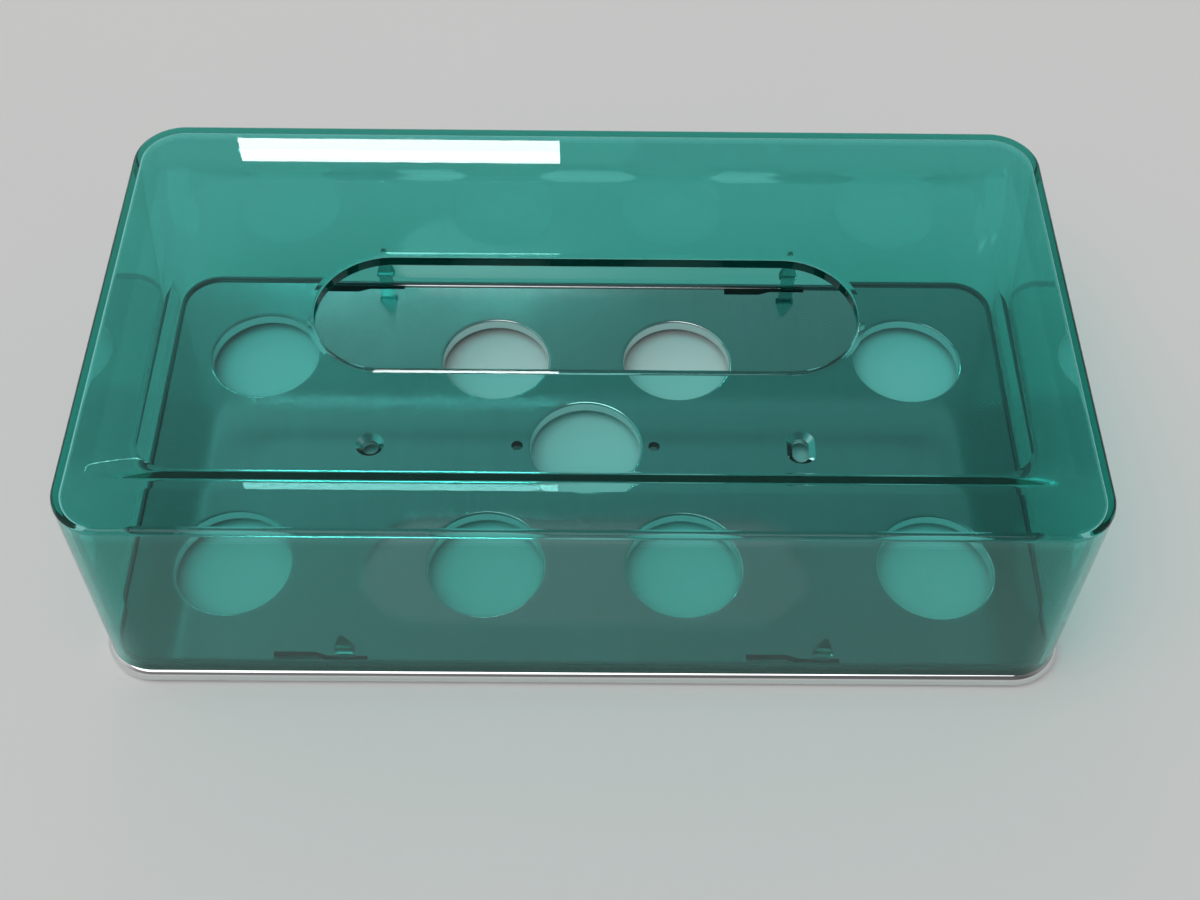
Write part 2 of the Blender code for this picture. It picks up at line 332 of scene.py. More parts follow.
    def spread(self, places: Iterable[Pair]) -> list["Bench"]:
        """Copy the piece to some places, and take the piece itself off the bench.

        Args:
            places: Shifts along X and Y.

        Returns:
            The copies.
        """
        copies = [self.copy_to(self.item.name, (*place, 0.0)) for place in places]
        self.discard()
        return copies

    def boolean(self, tool: "Bench", cut: Cut) -> "Bench":
        """Apply a Boolean with another piece, which is used up.

        Args:
            tool: The other piece.
            cut: What to do with it.

        Returns:
            This piece.
        """
        self.clear_selection()
        bpy.context.view_layer.objects.active = self.item
        modifier = self.item.modifiers.new("cut", "BOOLEAN")
        modifier.operation = cut.value
        modifier.solver = "EXACT"
        modifier.object = tool.item
        bpy.ops.object.modifier_apply(modifier=modifier.name)
        tool.discard()
        return self

    def discard(self) -> None:
        """Take the piece off the bench."""
        self.clear_selection()
        bpy.data.objects.remove(self.item, do_unlink=True)

    def merge(self) -> "Bench":
        """Merge doubled points."""
        self._edit()
        bpy.ops.mesh.select_all(action="SELECT")
        bpy.ops.mesh.remove_doubles(threshold=EDGE_TOLERANCE)
        return self

    def outward(self) -> "Bench":
        """Turn every face outwards."""
        self._edit()
        bpy.ops.mesh.select_all(action="SELECT")
        bpy.ops.mesh.normals_make_consistent(inside=False)
        return self

    def finish(self, angle: float = SMOOTH_ANGLE) -> Item:
        """Shade the piece smooth up to an angle, with flats kept flat.

        Args:
            angle: Largest angle in degrees that is shaded smooth.

        Returns:
            The finished object, at the origin.
        """
        self.clear_selection()
        bpy.context.view_layer.objects.active = self.item
        self.item.select_set(True)
        bpy.ops.object.shade_smooth_by_angle(angle=math.radians(angle))
        weighting = self.item.modifiers.new("flats", "WEIGHTED_NORMAL")
        weighting.keep_sharp = True
        weighting.weight = FLAT_WEIGHT
        bpy.ops.object.modifier_apply(modifier=weighting.name)
        self.item.select_set(False)
        return self.item


def quarter(width: float, depth: float, steps: int) -> list[Pair]:
    """Spread and remaining depth along a quarter round, from its upright end to its level end."""
    turns = [step / steps * math.pi / 2 for step in range(steps + 1)]
    return [(width * (1 - math.cos(turn)), depth * (1 - math.sin(turn))) for turn in turns]


class NodeSheet:
    """A node tree that is filled in by short calls."""

    def __init__(self, tree: bpy.types.NodeTree, coordinates: Optional[str] = None) -> None:
        """Keep the tree that the nodes go into.

        Args:
            tree: The node tree.
            coordinates: Name of the texture coordinates that its nodes use, where they use any.
        """
        self.tree = tree
        self.place: Optional[Socket] = None
        if coordinates is not None:
            self.place = self.add("ShaderNodeTexCoord").outputs[coordinates]

    def add(self, kind: str, **settings: object) -> bpy.types.Node:
        """Add a node.

        Args:
            kind: Blender's name of the node type.
            settings: Properties to set on it.

        Returns:
            The node.
        """
        node = self.tree.nodes.new(kind)
        for key, value in settings.items():
            setattr(node, key, value)
        return node

    def link(self, source: Socket, target: Socket) -> None:
        """Join two sockets."""
        self.tree.links.new(source, target)

    def feed(self, value: object, socket: Socket) -> None:
        """Give a socket its value.

        Args:
            value: Another socket to link, a colour or a number.
            socket: Where it goes.
        """
        if isinstance(value, Socket):
            self.link(value, socket)
        elif isinstance(value, tuple):
            socket.default_value = (*value, 1.0)
        else:
            socket.default_value = float(value)

    def call(self, kind: str, *values: object, **settings: object) -> Socket:
        """Add a node and feed its inputs in their order.

        Args:
            kind: Blender's name of the node type.
            values: Sockets, colours or numbers for its inputs.
            settings: Properties to set on it.

        Returns:
            Its first output.
        """
        node = self.add(kind, **settings)
        for value, socket in zip(values, node.inputs):
            self.feed(value, socket)
        return node.outputs[0]

    def math(self, operation: str, *values: object) -> Socket:
        """Work on sockets or numbers with a Math node."""
        return self.call("ShaderNodeMath", *values, operation=operation)

    def ramp(self, value: Socket, span: Pair, ends: Sequence[object], smooth: bool = False) -> Socket:
        """Carry a value's span over to two levels, with a soft start and end if it is smooth."""
        kind = "SMOOTHSTEP" if smooth else "LINEAR"
        return self.call("ShaderNodeMapRange", value, *span, *ends, interpolation_type=kind)

    def mix(self, share: Socket, first: object, second: object, kind: Mix = Mix.COLOUR) -> Socket:
        """Mix two colours or two numbers.

        Args:
            share: Share of the second.
            first: One of them, or its socket.
            second: The other, or its socket.
            kind: What is mixed.

        Returns:
            The mix.
        """
        data_type, start, result = kind.value
        node = self.add("ShaderNodeMix", data_type=data_type)
        self.link(share, node.inputs["Factor"])
        for value, socket in zip((first, second), node.inputs[start:start + 2]):
            self.feed(value, socket)
        return node.outputs[result]

    def axes(self) -> bpy.types.NodeOutputs:
        """Split the sheet's coordinates.

        Returns:
            Outputs X, Y and Z.
        """
        node = self.add("ShaderNodeSeparateXYZ")
        self.link(self.place, node.inputs[0])
        return node.outputs


class Effects:
    """Shared node groups, each built once."""

    HANDLING: str = "handling"
    HANDLING_DETAIL: float = 4.0
    HANDLING_ROUGHNESS: float = 0.6
    HANDLING_SPAN: Pair = (0.3, 0.7)
    TONES: str = "tones"
    TONES_DETAIL: float = 3.0

    @staticmethod
    def _noise(name: str, kind: str, limits: tuple[str, str], result: str, detail: float) -> tuple:
        """Start a group that has a noise to run between two limits.

        Args:
            name: Name of the group.
            kind: Kind of socket for the limits and the result.
            limits: Names of the limits.
            result: Name of the result.
            detail: Detail of the noise.

        Returns:
            The sheet, the noise node, the limits' sockets and the result's socket.
        """
        group = bpy.data.node_groups.new(name, "ShaderNodeTree")
        shared = {"Vector": "NodeSocketVector", "Scale": "NodeSocketFloat"}
        for label, sort in (shared | dict.fromkeys(limits, kind)).items():
            group.interface.new_socket(name=label, in_out="INPUT", socket_type=sort)
        group.interface.new_socket(name=result, in_out="OUTPUT", socket_type=kind)
        sheet = NodeSheet(group)
        given = sheet.add("NodeGroupInput").outputs
        noise = sheet.add("ShaderNodeTexNoise")
        noise.inputs["Detail"].default_value = detail
        for label in shared:
            sheet.link(given[label], noise.inputs[label])
        return sheet, noise, [given[label] for label in limits], sheet.add("NodeGroupOutput").inputs[result]

    @classmethod
    def handling(cls) -> bpy.types.NodeTree:
        """Patchy value between two limits, as left by handling and wiping.

        Returns:
            Group with Vector, Scale, Low and High in and Value out.
        """
        if cls.HANDLING not in bpy.data.node_groups:
            sheet, noise, limits, result = cls._noise(
                cls.HANDLING, "NodeSocketFloat", ("Low", "High"), "Value", cls.HANDLING_DETAIL
            )
            noise.inputs["Roughness"].default_value = cls.HANDLING_ROUGHNESS
            sheet.link(sheet.ramp(noise.outputs["Fac"], cls.HANDLING_SPAN, limits), result)
        return bpy.data.node_groups[cls.HANDLING]

    @classmethod
    def tones(cls) -> bpy.types.NodeTree:
        """Soft drift between two near colours.

        Returns:
            Group with Vector, Scale, First and Second in and Colour out.
        """
        if cls.TONES not in bpy.data.node_groups:
            sheet, noise, limits, result = cls._noise(
                cls.TONES, "NodeSocketColor", ("First", "Second"), "Colour", cls.TONES_DETAIL
            )
            sheet.link(sheet.mix(noise.outputs["Fac"], *limits), result)
        return bpy.data.node_groups[cls.TONES]


@dataclass(frozen=True)
class Finish:
    """A finish and the helpers that every finish uses."""

    name: str

    def start(self) -> tuple[Material, NodeSheet, bpy.types.Node]:
        """Make the material.

        Returns:
            The material, its sheet with Object coordinates and its shader node.
        """
        material = bpy.data.materials.new(self.name)
        material.use_nodes = True
        sheet = NodeSheet(material.node_tree, "Object")
        return material, sheet, material.node_tree.nodes["Principled BSDF"]

    @staticmethod
    def handled(sheet: NodeSheet, scale: float, limits: Pair, place: Optional[Socket] = None) -> Socket:
        """Patchy value between two limits, with its scale in patches to the metre."""
        where = sheet.place if place is None else place
        return sheet.call("ShaderNodeGroup", where, scale, *limits, node_tree=Effects.handling())

    @staticmethod
    def toned(sheet: NodeSheet, scale: float, tones: Tones) -> Socket:
        """Soft drift between two colours, with its scale in drifts to the metre."""
        return sheet.call("ShaderNodeGroup", sheet.place, scale, *tones, node_tree=Effects.tones())

    @staticmethod
    def roughened(sheet: NodeSheet, shader: bpy.types.Node, height: Socket, size: Pair) -> None:
        """Give a shader a bump.

        Args:
            sheet: Where the node goes.
            shader: The shader.
            height: Height that changes over the surface.
            size: Strength of the bump, and its depth in metres.
        """
        bump = sheet.add("ShaderNodeBump")
        bump.inputs["Strength"].default_value, bump.inputs["Distance"].default_value = size
        sheet.link(height, bump.inputs["Height"])
        sheet.link(bump.outputs["Normal"], shader.inputs["Normal"])


@dataclass(frozen=True)
class TintedPlastic(Finish):
    """Clear moulded plastic, tinted through its thickness.

    The dye is absorbed along the light's way through the plastic, so thick
    and edge-on parts go darker.  The walls also have a deeper tint than the
    top, whose border lies between the two.
    """

    absorbed: Triple = (55.0, 11.0, 13.0)
    dye_margin: float = 1.05
    refraction: float = 1.5
    tone_scale: float = 9.0
    wall_tones: Tones = ((0.215, 0.69, 0.63), (0.195, 0.655, 0.60))
    field_tones: Tones = ((0.455, 0.900, 0.870), (0.430, 0.885, 0.855))
    field_half: Pair = (0.1195, 0.0525)
    field_low: float = 0.0655
    border_share: float = 0.68
    slot_half: Pair = SLOT_HALF
    slot_margin: float = 0.0001
    # Deeper tint on the slot's upright edge: painted shade.
    slot_edge: Colour = (0.12, 0.42, 0.42)
    gloss: Pair = (0.003, 0.012)
    gloss_scale: float = 28.0
    shine: Colour = (0.62, 0.66, 0.66)
    caught_after: float = 1.5
    wall_leak: Colour = (0.10, 0.52, 0.45)
    sheet_leak_shade: Colour = (0.03, 0.14, 0.14)
    # Near-black teal for light caught in the middle of the top: painted shade.
    dark_reach: float = 0.108
    lamp_pass: Colour = (0.38, 0.89, 0.865)
    bounce_pass: Colour = (0.80, 0.95, 0.935)

    def field(self, sheet: NodeSheet) -> Socket:
        """Mask of the top's field and border.

        Args:
            sheet: Where the nodes go.

        Returns:
            One in the field, a share on its border and nought on the walls.
        """
        axes = sheet.axes()
        along, across = (
            sheet.math("LESS_THAN", sheet.math("ABSOLUTE", axes[label]), reach)
            for label, reach in zip("XY", self.field_half)
        )
        inner = sheet.math("MULTIPLY", sheet.math("MULTIPLY", along, across), 1.0 - self.border_share)
        mask = sheet.math("ADD", inner, self.border_share)
        return sheet.math("MULTIPLY", mask, sheet.math("GREATER_THAN", axes["Z"], self.field_low))

    def cut_edge(self, sheet: NodeSheet) -> Socket:
        """Mask of the pull slot's upright edge, where shade is painted.

        Args:
            sheet: Where the nodes go.

        Returns:
            One inside the slot's outline and nought elsewhere.
        """
        axes = sheet.axes()
        half, radius = self.slot_half
        along = sheet.math("SUBTRACT", sheet.math("ABSOLUTE", axes["X"]), half - radius)
        along = sheet.math("POWER", sheet.math("MAXIMUM", along, 0.0), 2.0)
        across = sheet.math("POWER", sheet.math("ABSOLUTE", axes["Y"]), 2.0)
        away = sheet.math("SQRT", sheet.math("ADD", along, across))
        inside = sheet.math("LESS_THAN", away, radius + self.slot_margin)
        return sheet.math("MULTIPLY", inside, sheet.math("GREATER_THAN", axes["Z"], self.field_low))

    def tint(self, sheet: NodeSheet) -> Socket:
        """Tint of the walls and the top, with painted shade on the slot's upright edge.

        Args:
            sheet: Where the nodes go.

        Returns:
            The colour.
        """
        walls = self.toned(sheet, self.tone_scale, self.wall_tones)
        top = self.toned(sheet, self.tone_scale, self.field_tones)
        panels = sheet.mix(self.field(sheet), walls, top)
        # The slot's upright edge takes a darker tint: painted shade.
        return sheet.mix(self.cut_edge(sheet), panels, self.slot_edge)

    def leaking(self, sheet: NodeSheet, shader: Socket, rays: bpy.types.NodeOutputs) -> Socket:
        """Let light that is caught inside the plastic leave it after a few bounces.

        Args:
            sheet: Where the nodes go.
            shader: The clear plastic.
            rays: Outputs of the material's Light Path node.

        Returns:
            The clear plastic with its leak.
        """
        axes = sheet.axes()
        caught = sheet.math("GREATER_THAN", rays["Glossy Depth"], self.caught_after)
        inside = sheet.add("ShaderNodeNewGeometry").outputs["Backfacing"]
        upper = sheet.math("GREATER_THAN", axes["Z"], self.field_low)
        middle = sheet.math("LESS_THAN", sheet.math("ABSOLUTE", axes["X"]), self.dark_reach)
        # Light caught in the middle of the top leaves in a near-black teal, which paints shade where it is
        # caught.
        tone = sheet.mix(sheet.math("MULTIPLY", upper, middle), self.wall_leak, self.sheet_leak_shade)
        leak = sheet.call("ShaderNodeBsdfTransparent", tone)
        return sheet.call("ShaderNodeMixShader", sheet.math("MULTIPLY", caught, inside), shader, leak)

    def material(self) -> Material:
        """Build the plastic.

        Returns:
            The material.
        """
        material, sheet, shader = self.start()
        sheet.link(self.tint(sheet), shader.inputs["Base Color"])
        sheet.link(self.handled(sheet, self.gloss_scale, self.gloss), shader.inputs["Roughness"])
        shader.inputs["IOR"].default_value = self.refraction
        shader.inputs["Transmission Weight"].default_value = 1.0
        shader.inputs["Specular Tint"].default_value = (*self.shine, 1.0)
        rays = sheet.add("ShaderNodeLightPath").outputs
        passed = sheet.mix(rays["Is Diffuse Ray"], self.lamp_pass, self.bounce_pass)
        clear = sheet.call("ShaderNodeBsdfTransparent", passed)
        soft = sheet.math("MAXIMUM", rays["Is Shadow Ray"], rays["Is Diffuse Ray"])
        plastic = self.leaking(sheet, shader.outputs[0], rays)
        density = max(self.absorbed) * self.dye_margin
        kept = tuple(1.0 - value / density for value in self.absorbed)
        output = material.node_tree.nodes["Material Output"]
        sheet.link(sheet.call("ShaderNodeMixShader", soft, plastic, clear), output.inputs["Surface"])
        sheet.link(sheet.call("ShaderNodeVolumeAbsorption", kept, density), output.inputs["Volume"])
        return material


@dataclass(frozen=True)
class CatchPlastic(TintedPlastic):
    """The catches' clear plastic, paler and duller than the cover's."""

    wall_tones: Tones = ((0.30, 0.58, 0.55), (0.26, 0.53, 0.50))
    gloss: Pair = (0.14, 0.22)


@dataclass(frozen=True)
class BrightPlating(Finish):
    """Bright plating: polished rim, satin plate, dull lip with painted shade, and dark painted shade on the
    inner walls of small cuts.
    """

    tones: Tones = ((0.80, 0.81, 0.81), (0.74, 0.75, 0.75))
    tone_scale: float = 14.0
    # Dark, dull, unplated colour for the inner walls of small holes and catch slots: painted shade.
    bare: Colour = (0.035, 0.04, 0.04)
    hole_shade_rough: float = 0.6
    satin_height: float = 0.0070
    satin_band: float = 0.0002
    satin: Pair = (0.09, 0.12)
    satin_scale: float = 22.0
    polished: Pair = (0.04, 0.07)
    polished_scale: float = 40.0
    lip_rough: float = 0.45
    # Darker lip, inside the cover's wall: painted shade.
    lip_shade: float = 0.72
    streak_scale: float = 1500.0
    streak_stretch: Triple = (1.0, 0.03, 1.0)
    streak_loss: float = 0.09
    streak_bump: Pair = (0.05, 0.00002)

    def material(self) -> Material:
        """Build the plating.

        Returns:
            The material.
        """
        material, sheet, shader = self.start()
        hole_shade_mask = sheet.add("ShaderNodeAttribute", attribute_name=HOLE_SHADE_MARK).outputs["Fac"]
        height = sheet.axes()["Z"]
        off = sheet.math("ABSOLUTE", sheet.math("SUBTRACT", height, self.satin_height))
        flat = sheet.math("LESS_THAN", off, self.satin_band)
        lip = sheet.math("GREATER_THAN", height, self.satin_height + self.satin_band)
        drawn = sheet.add("ShaderNodeMapping")
        drawn.inputs["Scale"].default_value = self.streak_stretch
        sheet.link(sheet.place, drawn.inputs["Vector"])
        streaks = self.handled(sheet, self.streak_scale, (0.0, 1.0), drawn.outputs["Vector"])
        streaks = sheet.math("MULTIPLY", streaks, flat)

        shade = sheet.add("ShaderNodeHueSaturation")
        sheet.link(self.toned(sheet, self.tone_scale, self.tones), shade.inputs["Color"])
        # The lip's colour is darkened: painted shade along the seam inside the cover's wall.
        value = sheet.math("SUBTRACT", 1.0, sheet.math("MULTIPLY", lip, self.lip_shade))
        value = sheet.math("SUBTRACT", value, sheet.math("MULTIPLY", streaks, self.streak_loss))
        sheet.link(value, shade.inputs["Value"])
        # Faces marked for painted shade turn dark and unplated.
        sheet.link(sheet.mix(hole_shade_mask, shade.outputs["Color"], self.bare), shader.inputs["Base Color"])
        sheet.link(sheet.math("SUBTRACT", 1.0, hole_shade_mask), shader.inputs["Metallic"])

        polished = self.handled(sheet, self.polished_scale, self.polished)
        satin = self.handled(sheet, self.satin_scale, self.satin)
        gloss = sheet.mix(flat, polished, satin, Mix.NUMBER)
        dull = sheet.math("MAXIMUM", gloss, sheet.math("MULTIPLY", hole_shade_mask, self.hole_shade_rough))
        dull = sheet.math("MAXIMUM", dull, sheet.math("MULTIPLY", lip, self.lip_rough))
        sheet.link(dull, shader.inputs["Roughness"])
        self.roughened(sheet, shader, streaks, self.streak_bump)
        return material


@dataclass(frozen=True)
class PaleFloor(Finish):
    """Plain pale matt table top."""

    tones: Tones = ((0.80, 0.80, 0.79), (0.765, 0.765, 0.76))
    tone_scale: float = 3.0
    matt: Pair = (0.75, 0.95)
    matt_scale: float = 6.0
    grain_scale: float = 160.0
    grain_bump: Pair = (0.08, 0.0005)

    def material(self) -> Material:
        """Build the floor's finish.

        Returns:
            The material.
        """
        material, sheet, shader = self.start()
        sheet.link(self.toned(sheet, self.tone_scale, self.tones), shader.inputs["Base Color"])
        sheet.link(self.handled(sheet, self.matt_scale, self.matt), shader.inputs["Roughness"])
        grain = self.handled(sheet, self.grain_scale, (0.0, 1.0))
        self.roughened(sheet, shader, grain, self.grain_bump)
        return material


@dataclass
class Cover:
    """The tinted cover: walls, rounded edges, thickened top and the pull slot."""

    half: Pair = (0.128, 0.0705)
    bottom: float = 0.0053
    top: float = 0.070
    wall: float = 0.0018
    corner: float = 0.0132
    outer_round: float = 0.0012
    inner_round: float = 0.0010
    edge_thickness: float = 0.0018
    field_thickness: float = 0.0034
    swell_start: Pair = (0.1248, 0.0569)
    swell_end: Pair = (0.1098, 0.0499)
    swell_lead: float = 0.0023
    swell_lead_slope: float = 0.0608
    swell_steps: int = 36
    slot_half: Pair = SLOT_HALF
    slot_ease: Pair = (0.0018, 0.0004)
    slot_facet: Pair = (0.0009, 0.0708)
    facet_shares: Triple = (0.04, 0.96, 1.0)
    slot_under: float = 0.0005
    overshoot: float = 0.001
    corner_steps: int = 18
    round_steps: int = 8
    slot_sides: int = 96

    def swell(self, share: float) -> float:
        """Share of the swell's drop at a share of its width.

        Args:
            share: Share of the width, from outside in.

        Returns:
            Share of the drop.
        """
        width = self.swell_start[1] - self.swell_end[1]
        drop = self.field_thickness - self.edge_thickness
        lead, slope = self.swell_lead / width, self.swell_lead_slope * width / drop
        if share < lead:
            return share * slope
        # A cubic takes over at the lead-in's slope and ends level.
        t = (share - lead) / (1.0 - lead)
        start, tangent = lead * slope, slope * (1.0 - lead)
        return start * (1 - t) ** 2 * (1 + 2 * t) + tangent * t * (1 - t) ** 2 + t * t * (3 - 2 * t)

    def outside(self) -> Bench:
        """Solid with the cover's outside.

        Returns:
            The work piece.
        """
        low = (-self.half[0], -self.half[1], self.bottom)
        piece = Bench.block("tinted_cover_shell", low, (*self.half, self.top))
        piece.round_corners(self.corner, self.corner_steps)
        return piece.round_rim([self.top], self.outer_round, self.round_steps)

    def cavity(self) -> Bench:
        """Solid with the cover's inside, hollowed by the swell.

        Returns:
            The work piece.
        """
        inner = (self.half[0] - self.wall, self.half[1] - self.wall)
        ceiling = self.top - self.edge_thickness
        low = (-inner[0], -inner[1], self.bottom - self.overshoot)
        piece = Bench.block("cover_cavity", low, (*inner, ceiling))
        piece.round_corners(self.corner - self.wall, self.corner_steps)
        piece.round_rim([ceiling], self.inner_round, self.round_steps)
        piece.level(ceiling, Way.UP)
        size = (inner[0] - self.inner_round, inner[1] - self.inner_round)
        drop = 0.0
        for step in range(self.swell_steps + 1):
            share = step / self.swell_steps
            fall = self.swell(share)
            reach = zip(self.swell_start, self.swell_end, (fall, share))
            fresh = tuple(start + (end - start) * part for start, end, part in reach)
            depth = (self.field_thickness - self.edge_thickness) * fall
            piece.ring(drop - depth, size, fresh, (0.0, 0.0, ceiling))
            size, drop = fresh, depth
        return piece

    def slot(self) -> Bench:
        """Solid that opens the pull slot, with its eased edges.

        Returns:
            The work piece.
        """
        under = self.top - self.field_thickness
        width, depth = self.slot_ease
        facet, slope = self.slot_facet
        curve = width - facet
        fall = facet * slope
        radius = self.slot_half[1]
        upper = [(grow, left + fall) for grow, left in quarter(curve, depth - fall, self.round_steps)]
        upper += [(curve + facet * share, fall * (1 - share)) for share in self.facet_shares]
        lower = quarter(self.slot_under, self.slot_under, self.round_steps)
        piece = Bench.disc("pull_slot", radius, under + self.slot_under, self.top - depth, self.slot_sides)
        piece.stretch(0, self.slot_half[0] - radius)
        ends = ((self.top - depth, Way.UP, upper), (under + self.slot_under, Way.DOWN, lower))
        for level, way, profile in ends:
            piece.flare(self.slot_half, profile, level, way)
            piece.extrude((0.0, 0.0, way.value * self.overshoot))
        return piece

    def build(self) -> Item:
        """Model the cover.

        Returns:
            The finished piece.
        """
        piece = self.outside()
        piece.boolean(self.cavity().outward(), Cut.TAKE)
        piece.boolean(self.slot().outward(), Cut.TAKE)
        return piece.merge().finish()

    def dress(self, item: Item, plastic: Material) -> None:
        """Give the cover its finish and its place in the frame."""
        item.data.materials.clear()
        item.data.materials.append(plastic)
        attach(item, Body.COVER.value)
        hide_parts("cover")


@dataclass
class Base:
    """The plated base tray: bead rim, lip, openings, hanging holes, catch slots."""

    half: Pair = (0.1292, 0.0717)
    corner: float = 0.0144
    rim: float = 0.005
    plug_reach: float = 0.1258
    plate_top: float = 0.007
    plate_under: float = 0.0046
    lip: Pair = (0.0009, 0.0010)
    lip_ease: float = 0.00018
    lip_steps: int = 3
    skirt: float = 0.0016
    opening_radius: float = 0.016
    opening_ease: float = 0.0008
    ease_steps: int = 6
    collar_wall: float = 0.0016
    collar_low: float = 0.0036
    row_x: Pair = (0.0974, 0.0275)
    row_y: float = 0.0369
    middle_y: float = 0.003
    hang_x: float = 0.063
    hang_radius: Pair = (0.0025, 0.0042)
    hang_sink: float = 0.0015
    hang_travel: float = 0.0034
    hang_sides: int = 40
    small_x: float = 0.020
    small_radius: float = 0.0017
    small_sides: int = 32
    catch_x: float = 0.063
    catch_y: Pair = (0.0658, 0.0672)
    catch_length: float = 0.0109
    catch_depth: float = 0.003
    catch_taper: float = 0.0034
    window: Pair = (0.0108, 0.0026)
    overshoot: float = 0.001
    corner_steps: int = 18
    rim_steps: int = 10
    opening_sides: int = 96
    shade_margin: float = 0.0003
    shade_depth: float = 0.0001
    steep_normal: float = 0.5

    def tray(self) -> Bench:
        """Tray with its bead rim, raised plate, lip and hollow underside.

        Returns:
            The work piece.
        """
        low = (-self.half[0], -self.half[1], 0.0)
        piece = Bench.block("plated_base_tray", low, (*self.half, self.rim))
        piece.round_corners(self.corner, self.corner_steps)
        piece.round_rim([0.0, self.rim], self.rim / 2 - EDGE_TOLERANCE, self.rim_steps)
        shoulder = self.half[0] - self.rim / 2 - self.plug_reach
        thickness, height = self.lip
        piece.level(self.rim, Way.UP).inset(shoulder)
        piece.extrude((0.0, 0.0, self.plate_top + height - self.rim))
        piece.inset(thickness).extrude((0.0, 0.0, -height))
        piece.round_rim([self.plate_top + height], self.lip_ease, self.lip_steps)
        piece.level(0.0, Way.DOWN).inset(shoulder + self.skirt).extrude((0.0, 0.0, self.plate_under))
        return piece.merge()

    def opening_places(self) -> list[Pair]:
        """Centres of the nine round openings.

        Returns:
            Places along X and Y.
        """
        places = [(0.0, self.middle_y)]
        for side in Side:
            for column in self.row_x:
                places += [(end.value * column, side.value * self.row_y) for end in End]
        return places

    def hanging(self) -> list[tuple[Pair, float]]:
        """Centres of the two hanging holes, with the travel of each along Y."""
        travels = {End.LEFT: 0.0, End.RIGHT: self.hang_travel}
        return [((end.value * self.hang_x, self.middle_y), travel) for end, travel in travels.items()]

    def collars(self) -> list[Bench]:
        """Short collars under the openings and the hanging holes.

        Returns:
            The work pieces.
        """
        span = (self.collar_low, self.plate_under + self.overshoot)
        wide = Bench.disc("collar", self.opening_radius + self.collar_wall, *span, self.opening_sides)
        rings = wide.spread(self.opening_places())
        for place, travel in self.hanging():
            ring = Bench.disc("collar", self.hang_radius[0] + self.collar_wall, *span, self.hang_sides)
            rings += ring.stretch(1, travel / 2).spread([place])
        return rings

    def opening(self) -> Bench:
        """Cutter for one round opening with an eased edge.

        Returns:
            The work piece.
        """
        radius, ease = self.opening_radius, self.opening_ease
        low, level = self.collar_low - self.overshoot, self.plate_top - ease
        piece = Bench.disc("opening", radius, low, level, self.opening_sides)
        piece.flare((radius, radius), quarter(ease, ease, self.ease_steps), level, Way.UP)
        return piece.extrude((0.0, 0.0, self.overshoot))

    def hanger(self, travel: float) -> Bench:
        """Cutter for a countersunk hanging hole, drawn out along Y.

        Args:
            travel: Length of the straight part.

        Returns:
            The work piece.
        """
        hole, head = self.hang_radius
        low, level = self.collar_low - self.overshoot, self.plate_top - self.hang_sink
        sink = [(0.0, self.hang_sink), (head - hole, 0.0)]
        piece = Bench.disc("hanger", hole, low, level, self.hang_sides).stretch(1, travel / 2)
        piece.flare((hole, hole + travel / 2), sink, level, Way.UP)
        return piece.extrude((0.0, 0.0, self.overshoot))

    def catch(self) -> Bench:
        """Cutter for one catch slot with its wide entry, at the back wall.

        Returns:
            The work piece, centred on X.
        """
        near, far = self.catch_y
        low, high = self.plate_top - self.catch_depth, self.plate_top + self.overshoot
        half = self.catch_length / 2
        piece = Bench.block("catch", (-half, near, low), (half, far, high))
        piece.faces(lambda centre, normal: normal.x < -FLAT_NORMAL)
        piece.extrude((-self.catch_taper, 0.0, 0.0))
        piece.scale((1.0, self.window[1] / (far - near), 1.0), (0.0, far, 0.0))
        return piece.extrude((-self.window[0], 0.0, 0.0))

    def cutters(self) -> list[Bench]:
        """Every hole of the plate.

        Returns:
            The cutters.
        """
        tools = self.opening().spread(self.opening_places())
        for place, travel in self.hanging():
            tools += self.hanger(travel).spread([place])
        low, high = self.collar_low - self.overshoot, self.plate_top + self.overshoot
        small = Bench.disc("small", self.small_radius, low, high, self.small_sides)
        tools += small.spread([(end.value * self.small_x, self.middle_y) for end in End])
        back = self.catch()
        front = back.copy_to("catch", (0.0, 0.0, 0.0))
        front.points(lambda place: True).scale((1.0, -1.0, 1.0), (0.0, 0.0, 0.0))
        for catch in (back, front):
            tools += catch.spread([(end.value * self.catch_x, 0.0) for end in End])
        return [tool.outward() for tool in tools]

    def is_bare(self, face: bpy.types.MeshPolygon) -> bool:
        """Tell whether a face is an inner wall of a small hole or a catch slot.

        Args:
            face: A face of the finished tray.

        Returns:
            True where the wall gets dark painted shade.
        """
        x, y, z = face.center
        deep = self.collar_low < z < self.plate_top - self.shade_depth
        if not deep or abs(face.normal.z) >= self.steep_normal:
            return False
        smalls = [math.dist((x, y), (end.value * self.small_x, self.middle_y)) for end in End]
        reach = self.catch_length / 2 + self.catch_taper + self.window[0]
        within = any(-reach < x - end.value * self.catch_x < self.catch_length for end in End)
        beside = abs(abs(y) - sum(self.catch_y) / 2) < self.window[1]
        return min(smalls) < self.small_radius + self.shade_margin or (within and beside)

    def mark_hole_shade(self, item: Item) -> None:
        """Mark the faces of the finished tray that get painted shade."""
        layer = item.data.attributes.new(HOLE_SHADE_MARK, "FLOAT", "FACE")
        layer.data.foreach_set("value", [float(self.is_bare(face)) for face in item.data.polygons])

    def build(self) -> Item:
        """Model the base tray.

        Returns:
            The finished piece.
        """
        piece = self.tray()
        for collar in self.collars():
            piece.boolean(collar, Cut.JOIN)
        for cutter in self.cutters():
            piece.boolean(cutter, Cut.TAKE)
        item = piece.merge().finish()
        self.mark_hole_shade(item)
        return item

    def dress(self, item: Item, plating: Material) -> None:
        """Give the tray its finish and its place in the frame."""
        item.data.materials.clear()
        item.data.materials.append(plating)
        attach(item, Body.BASE.value)
        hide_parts("base_plate")


